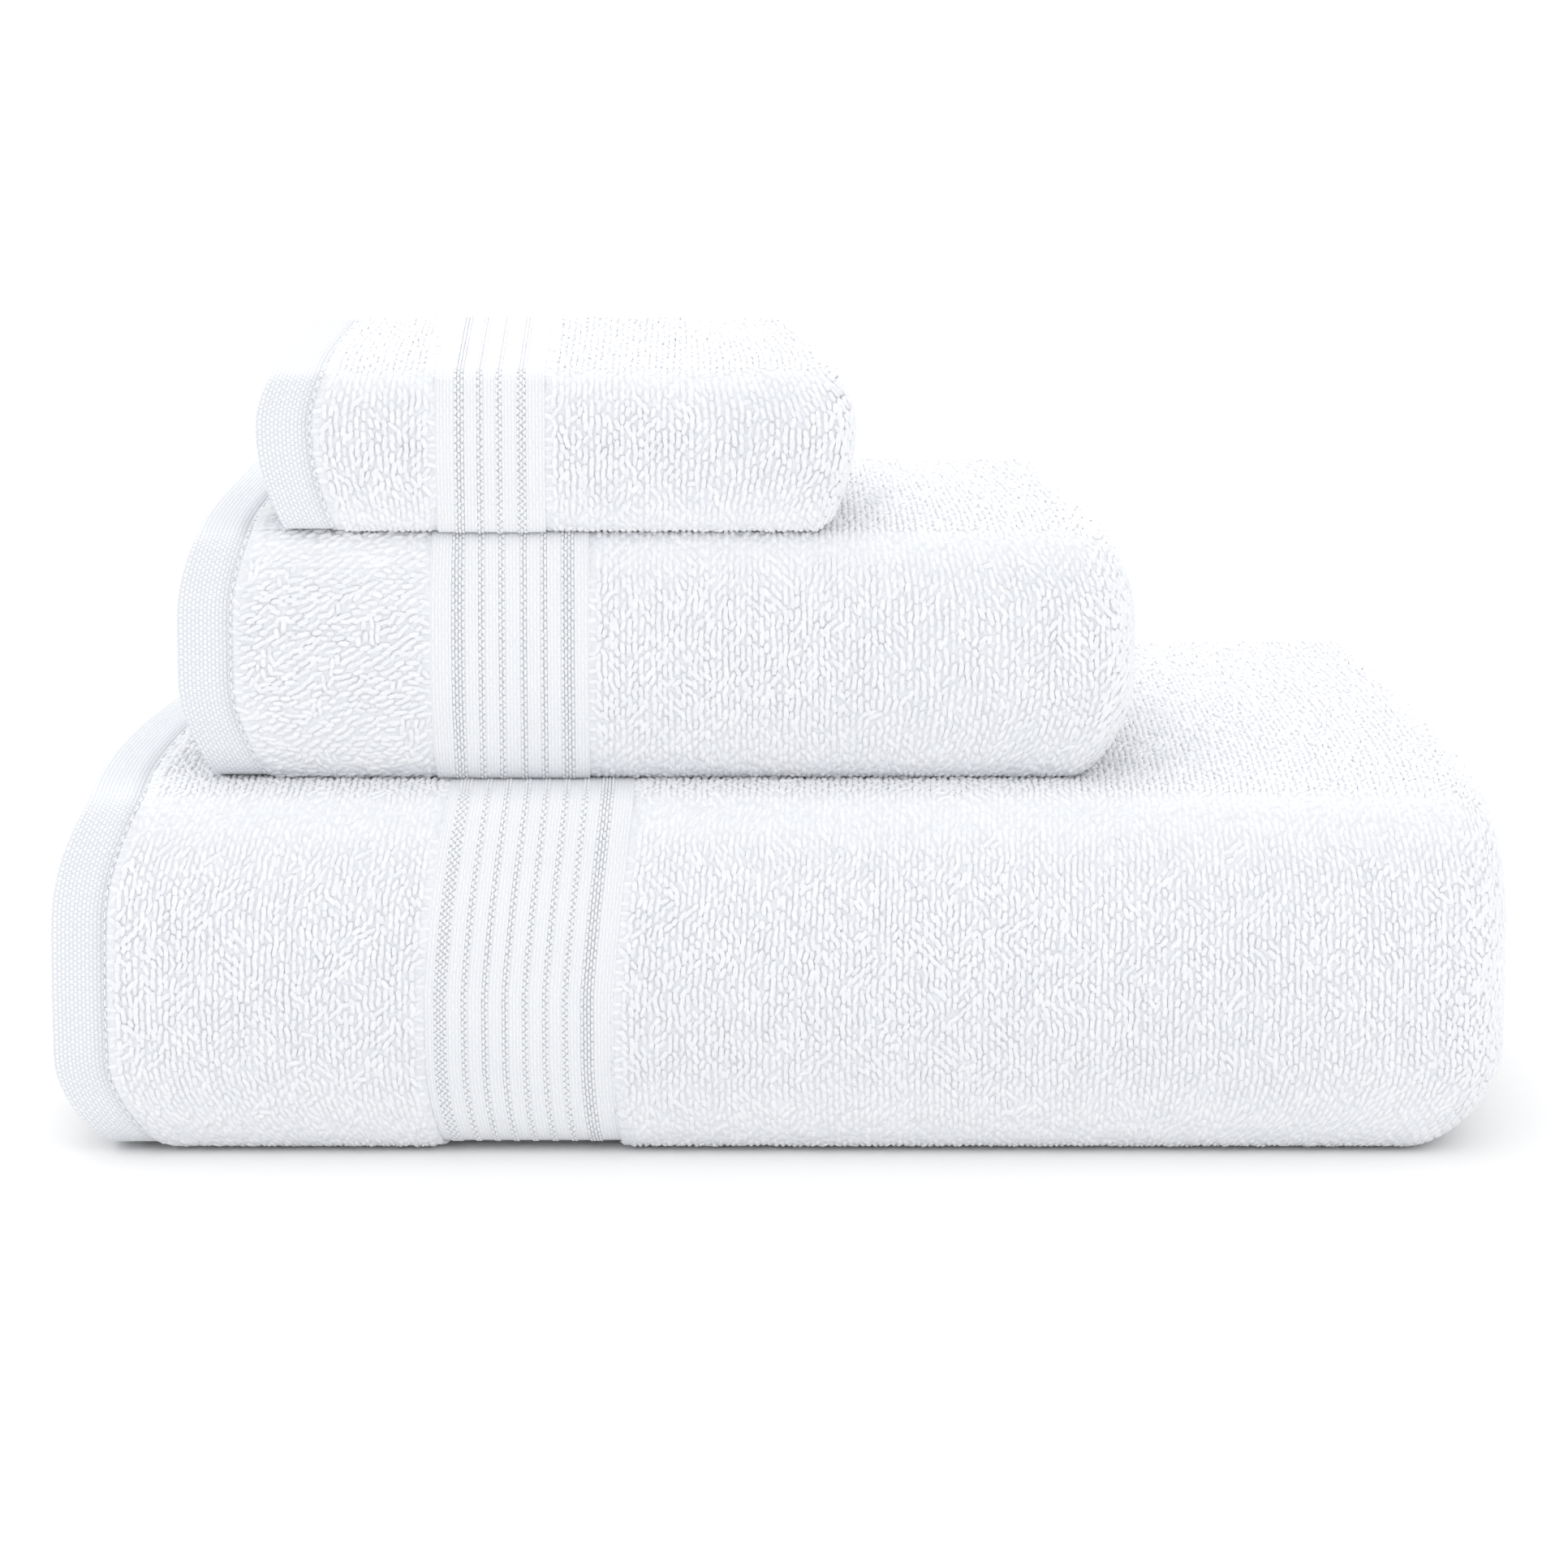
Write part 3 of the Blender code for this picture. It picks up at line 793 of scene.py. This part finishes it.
def drift_field(scale, waves=14):
    """A smooth field between about -1 and 1 that changes over this distance."""
    angle = rng.uniform(0, math.tau, waves)
    size = math.tau / (scale * rng.uniform(0.7, 2.2, waves))
    phase = rng.uniform(0, math.tau, waves)

    def field(along, across):
        swing = np.cos(angle) * size * along[:, None] + np.sin(angle) * size * across[:, None] + phase
        return np.sin(swing).sum(axis=1) / math.sqrt(waves)

    return field


def loop_places(fold, start, end):
    """Middles of all loops of a zone, in rows that are staggered and slightly disturbed."""
    face = terry_thickness(fold.towel) / 2
    found = []
    for begin, finish, low, high in seen_patches(fold, start, end):
        columns = even_steps(fold, 0, begin, finish, (low + high) / 2, face, COLUMN_STEP)
        rows = even_steps(fold, 1, low, high, (begin + finish) / 2, face, ROW_STEP)
        along, across = np.meshgrid(columns, rows, indexing="ij")
        across = across + np.gradient(rows) * (0.5 * (np.arange(len(columns)) % 2))[:, None]
        found.append(np.stack([along.ravel(), across.ravel()], axis=1))
    return np.concatenate(found)


def lay_pile(fold, zone, start, end, lies_along=0.0):
    """The loops of a terry zone, in as many pieces as their number needs."""
    towel = fold.towel
    places = loop_places(fold, start, end)
    along, across = places[np.lexsort((places[:, 0], np.floor(places[:, 1] / BATCH)))].T
    count = len(along)
    lean, swell, ruffle = drift_field(LEAN_CLUMP), drift_field(SWELL_CLUMP), drift_field(RUFFLE_CLUMP)
    stretch = fold.stretch(along, across, np.full(count, terry_thickness(towel) / 2), 1)
    along = along + rng.normal(0, SCATTER_ALONG, count)
    across = across + rng.normal(0, SCATTER_ACROSS, count) / stretch
    turn = LEAN * lean(along, across) + rng.normal(0, LEAN, count)
    ruffled = ruffle(along, across) + SIDEWAYS_WEIGHT * lies_along > RUFFLED_FROM
    turn += (RUFFLE + SIDEWAYS_TURN * lies_along) * ruffled
    rim = np.minimum(along - start, end - along)
    near_rim = np.clip(1 - rim / EDGE_ROUND, 0, 1)
    turn = np.where(near_rim > RIM_FROM, math.pi / 2 + rng.normal(0, RIM_SCATTER, count), turn)
    drop = RIM_DROP * (1 - np.sqrt(1 - near_rim ** 2))
    foot = terry_thickness(towel) / 2 - PILE_HEIGHT - SUNK - drop
    height = SUNK + PILE_HEIGHT * (1.05 + 0.08 * swell(along, across) + rng.normal(0, 0.12, count))
    length = LOOP_LENGTH * (1 + rng.normal(0, 0.14, count))
    width = LOOP_WIDTH * (1 + rng.normal(0, 0.09, count))
    pieces = []
    parts = math.ceil(count / MOST_LOOPS)
    for number, chosen in enumerate(np.array_split(np.arange(count), parts)):
        name = f"{towel.name}_{zone}_loops_{number + 1}"
        piece = lay_arches(name, fold, along[chosen], across[chosen], foot[chosen], turn[chosen],
                           length[chosen], width[chosen], height[chosen],
                           (start, across[chosen].min()), (end, across[chosen].max()))
        pieces.append(settle(piece, towel, LOOPS))
    print(towel.name, zone, count, "loops in", parts, "pieces")
    return pieces


# %% Terry strips with their loops
def weave_zones(towel):
    border_end = towel.hem_to_border + towel.border_width
    return {
        "end_panel_front": (END_HEM_WIDTH, towel.hem_to_border),
        "border_front": (towel.hem_to_border, border_end),
        "terry_field": (border_end, towel.length - border_end),
        "border_inner": (towel.length - border_end, towel.length - towel.hem_to_border),
        "end_panel_inner": (towel.length - towel.hem_to_border, towel.length - END_HEM_WIDTH),
    }


LAP = 0.0008  # terry is thicker than its neighbours, and its edge stands a little way onto them
TERRY_RIM, BORDER_RIM = 0.0009, 0.0005
BEND_STEP = 0.0018  # between rows of a strip where its length bends


def across_stations(fold, flat_step, bend_step, lap=0.0):
    low, high = SIDE_HEM_WIDTH - lap, fold.towel.width - SIDE_HEM_WIDTH + lap
    return stations(fold.across, low, high, flat_step, bend_step)


def make_terry(fold, zone, lies_along=0.0):
    towel = fold.towel
    start, end = weave_zones(towel)[zone]
    rows = stations(fold.along, start - LAP, end + LAP, 0.010, BEND_STEP)
    piece = flat_grid(f"{towel.name}_{zone}_cloth", rows, across_stations(fold, 0.012, 0.003, LAP))
    half = terry_thickness(towel) / 2
    thicken(piece, -half, half - PILE_HEIGHT, TERRY_RIM)
    fold_up(piece, fold, (start - LAP, SIDE_HEM_WIDTH - LAP), (end + LAP, towel.width))
    settle(piece, towel, GROUND, [f"{towel.name}_{zone}"])
    loops = lay_pile(fold, zone, start, end, lies_along) if zone != "end_panel_inner" else []
    return declare(piece, loops)


# %% [markdown]
# declare hands the sheet back as it is; it keeps no record of its flat size or of the loose pieces that it
# carries.


def declare(piece, carried):
    return piece


# %% [markdown]
# ## The flat-woven border
# The border has no pile. It is a thin twill with raised chains woven into it, in stripes: a wide one on
# each side and narrow ones between. The ground under a stripe is painted grey-blue, as painted shade
# round the links, and each link of a chain is a small oval float of smooth yarn, set half a step off the
# one beside it. The fold pulls the border tight, so that it lies nearly flush with the terry beside it.

# %% The border and its chains
FLUSH_GAP = 0.00035
YARN_SUNK = 0.0001
CHAIN_COLUMN = 0.00088
LINK_STEP, LINK_LENGTH, LINK_WIDTH, LINK_HEIGHT = 0.0018, 0.00158, 0.00066, 0.00042
WIDE_COLUMNS, NARROW_COLUMNS = {"bath": 4, "hand": 4, "wash": 3}, 2


def stripe_columns(towel, number):
    """The first and the last stripe are the wide ones."""
    return WIDE_COLUMNS[towel.name] if number in (0, len(towel.stripes) - 1) else NARROW_COLUMNS


def chain_columns(towel):
    """(distance from the border's edge to each column of links, number of the column in its stripe)"""
    for number, centre in enumerate(towel.stripes):
        columns = stripe_columns(towel, number)
        for column in range(columns):
            yield centre + (column - (columns - 1) / 2) * CHAIN_COLUMN, column


def stripe_edges(towel):
    for number, centre in enumerate(towel.stripes):
        columns = stripe_columns(towel, number)
        yield centre - columns * CHAIN_COLUMN / 2, centre + columns * CHAIN_COLUMN / 2


def border_rise(fold, across):
    """How far a border stands out. The one on the floor starts at nothing and grows to its top."""
    towel = fold.towel
    most = (terry_thickness(towel) - BORDER_THICKNESS) / 2 - FLUSH_GAP
    if fold.on_towel:
        return np.full(len(across), most)
    begin, finish = fold.across.turns[0][0], fold.across.turns[2][1]
    return most * np.clip((across - begin) / (finish - begin), 0, 1)


def lay_chains(fold, start):
    towel = fold.towel
    face = BORDER_THICKNESS / 2
    low, high = fold.across.turns[0][0] - SEEN_BELOW, fold.across.turns[3][1]
    links = even_steps(fold, 1, low, high, start + towel.border_width / 2, face, LINK_STEP)
    half_step = np.gradient(links) / 2
    along, across = [], []
    for offset, column in chain_columns(towel):
        along.append(np.full(len(links), start + offset))
        across.append(links + half_step * (column % 2))
    along, across = np.concatenate(along), np.concatenate(across)
    count = len(along)
    name = f"{towel.name}_border_front_chains"
    piece = lay_arches(name, fold, along + rng.normal(0, 0.00004, count), across,
                       face - YARN_SUNK + border_rise(fold, across), rng.normal(0, np.radians(5), count),
                       np.full(count, LINK_LENGTH), np.full(count, LINK_WIDTH), np.full(count, LINK_HEIGHT),
                       (start, low), (start + towel.border_width, high))
    print(name, count, "links")
    return settle(piece, towel, CHAIN_YARN)


def make_border(fold, zone):
    towel = fold.towel
    start, end = weave_zones(towel)[zone]
    outer = zone == "border_front"
    edges = [(start + a, start + b) if outer else (end - b, end - a) for a, b in stripe_edges(towel)]
    marks = sorted(mark for edge in edges for mark in edge)
    rows = stations(fold.along, start, end - WEAVE_GAP, 0.004, BEND_STEP, marks)
    piece = flat_grid(f"{towel.name}_{zone}_cloth", rows, across_stations(fold, 0.010, 0.002))
    piece.data.materials.append(BORDER_WEAVE)
    piece.data.materials.append(STRIPE_GROUND)
    # Faces under the stripes take the stripe ground, painted grey-blue as painted shade round the chains.
    for face in piece.data.polygons:
        face.material_index = int(any(low < face.center.x < high for low, high in edges))
    thicken(piece, -BORDER_THICKNESS / 2, BORDER_THICKNESS / 2, BORDER_RIM)
    if outer:
        flat = read_points(piece)
        flat[:, 2] += border_rise(fold, flat[:, 1])
        write_points(piece, flat)
    fold_up(piece, fold, (start, SIDE_HEM_WIDTH), (end, towel.width))
    settle(piece, towel, None, [f"{towel.name}_{zone}"])
    return declare(piece,
                   [lay_chains(fold, start)] if outer else [])


# %% [markdown]
# ## Turned hems
# A hem is flat weave turned over twice, so that the raw edge lies inside. It is made the same way: a
# strip whose section runs out along the face, round the edge, back underneath, and in again between
# the two. A row of stitches near its inner side holds it.

# %% The section of a hem
HEM_PLY = 0.0008


def hem_section(width):
    """The path of the turned cloth: x from the hem's outer edge, y above its middle."""
    outer_turn = (HEM_THICKNESS - HEM_PLY) / 2
    inner_turn = outer_turn / 2
    section = Track(width, outer_turn, 180).run(width - outer_turn - HEM_PLY / 2).turn(outer_turn, 180)
    section.run(width - outer_turn - HEM_PLY / 2 - inner_turn - HEM_PLY).turn(inner_turn, 180)
    return section.run(width - 4 * outer_turn - HEM_PLY)


def make_hem(fold, name, axis, hem_edge, inwards, width, begin, finish):
    """One turned hem. axis is 0 for an end hem, across the cloth's length, and 1 for a side hem."""
    towel = fold.towel
    section = hem_section(width)
    flat_width = section.length
    turns = stations(section, 0.0, flat_width, 0.006, 0.0005)
    track = fold.across if axis == 0 else fold.along
    runs = stations(track, begin, finish, 0.008, BEND_STEP)
    strip = flat_grid(f"{name}_cloth", turns, runs) if axis == 0 else flat_grid(f"{name}_cloth", runs, turns)
    unrolled = read_points(strip)
    flat_map = unrolled.copy()
    out, height, _ = section.read(unrolled[:, axis])
    unrolled[:, axis] = hem_edge + inwards * out
    unrolled[:, 2] = height
    write_points(strip, unrolled)
    keep_flat_map(strip, flat_map, flat_map.min(axis=0)[:2], flat_map.max(axis=0)[:2])
    body = strip.modifiers.new("hem cloth", "SOLIDIFY")
    body.thickness = HEM_PLY
    body.offset = 0.0
    body.use_even_offset = True
    apply_modifiers(strip)
    write_points(strip, fold.lay(read_points(strip)))
    bpy.ops.object.mode_set(mode="EDIT")
    bpy.ops.mesh.select_all(action="SELECT")
    bpy.ops.mesh.normals_make_consistent(inside=False)
    bpy.ops.object.mode_set(mode="OBJECT")
    strip.data.shade_smooth()
    settle(strip, towel, HEM_WEAVE, [name])
    stitches = sew(fold, name, axis, hem_edge + inwards * (width - STITCH_INSET), begin, finish)
    return declare(strip, [stitches])


# %% A row of stitches
STITCH_STEP, STITCH_LENGTH, STITCH_WIDTH, STITCH_HEIGHT = 0.0030, 0.0027, 0.0005, 0.00042


def sew(fold, name, axis, line, begin, finish):
    """Stitches along a line of the hem, each one a short float of thread."""
    lift = HEM_THICKNESS / 2
    start, end = begin + STITCH_LENGTH, finish - STITCH_LENGTH
    places = even_steps(fold, 1 - axis, start, end, line, lift, STITCH_STEP)
    count = len(places)
    along, across = (np.full(count, line), places) if axis == 0 else (places, np.full(count, line))
    turn = np.full(count, 0.0 if axis == 0 else math.pi / 2) + rng.normal(0, np.radians(2), count)
    sizes = (np.full(count, size) for size in (STITCH_LENGTH, STITCH_WIDTH, STITCH_HEIGHT))
    spread = 2 * STITCH_WIDTH
    low = (along.min() - spread, across.min() - spread)
    high = (along.max() + spread, across.max() + spread)
    piece = lay_arches(f"{name}_stitches", fold, along, across, np.full(count, lift - YARN_SUNK), turn,
                       *sizes, low, high)
    return settle(piece, fold.towel, THREAD, [f"{name}_thread"])


# %% [markdown]
# ## Make the three towels
# The same steps make each towel. On the hand towel the loops of the end panel lie mostly sideways.

# %% Run the loom
SIDEWAYS = {"hand": 0.75, "bath": 0.1, "wash": 0.0}


def make_towel(fold):
    towel = fold.towel
    make_terry(fold, "end_panel_front", SIDEWAYS[towel.name])
    make_terry(fold, "terry_field")
    make_terry(fold, "end_panel_inner")
    make_border(fold, "border_front")
    make_border(fold, "border_inner")
    width, length = towel.width, towel.length
    make_hem(fold, f"{towel.name}_end_hem_front", 0, 0.0, 1, END_HEM_WIDTH, 0.0, width)
    make_hem(fold, f"{towel.name}_end_hem_inner", 0, length, -1, END_HEM_WIDTH, 0.0, width)
    sides = (END_HEM_WIDTH + WEAVE_GAP, length - END_HEM_WIDTH - WEAVE_GAP)
    make_hem(fold, f"{towel.name}_side_hem_outer", 1, 0.0, 1, SIDE_HEM_WIDTH, *sides)
    make_hem(fold, f"{towel.name}_side_hem_inner", 1, width, -1, SIDE_HEM_WIDTH, *sides)


for fold in folds.values():
    make_towel(fold)
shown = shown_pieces()
triangles = sum(len(face.vertices) - 2 for piece in shown for face in piece.data.polygons)
print(len(shown), "pieces,", triangles, "triangles")

# %% [markdown]
# ## Stage, light and camera
# White cotton on white needs even, soft light: a bright sky all round, a pale floor that sends light
# back up, and one broad lamp high above that makes the tops a little brighter than the fronts.

# %% Stage
bpy.ops.mesh.primitive_plane_add(size=12.0, location=(0, 0, -0.0004))
floor = bpy.context.active_object
floor.name = "studio_floor"
paper = bpy.data.materials.new("white_paper")
paper.use_nodes = True
paper.node_tree.nodes["Principled BSDF"].inputs["Base Color"].default_value = (0.92, 0.92, 0.92, 1)
paper.node_tree.nodes["Principled BSDF"].inputs["Roughness"].default_value = 1.0
floor.data.materials.append(paper)

# %% Light
SKY_STRENGTH = 1.17
world = bpy.data.worlds.new("white_studio")
bpy.context.scene.world = world
world.use_nodes = True
world.node_tree.nodes["Background"].inputs["Color"].default_value = (1, 1, 1, 1)
world.node_tree.nodes["Background"].inputs["Strength"].default_value = SKY_STRENGTH
bpy.context.scene.view_settings.view_transform = "Standard"

bpy.ops.object.light_add(type="AREA", location=(-0.3, 0.35, 1.7))
lamp = bpy.context.active_object
lamp.name = "soft_top_light"
lamp.data.shape = "DISK"
lamp.data.size = 1.2
lamp.data.energy = 6.0
lamp.rotation_euler = (math.radians(-15), 0, math.radians(41))

# %% Camera
FRAME_WIDTH, DISTANCE, ELEVATION = 0.4131, 2.2, math.radians(14.4)
AIM = (0.0012, -0.102, 0.1034)
back = np.array([0.0, -math.cos(ELEVATION), math.sin(ELEVATION)])
bpy.ops.object.camera_add(location=np.array(AIM) + back * DISTANCE, rotation=(math.pi / 2 - ELEVATION, 0, 0))
camera = bpy.context.active_object
camera.name = "camera"
camera.data.sensor_width = 36.0
camera.data.lens = camera.data.sensor_width * DISTANCE / FRAME_WIDTH
camera.data.clip_end = 50.0
bpy.context.scene.camera = camera
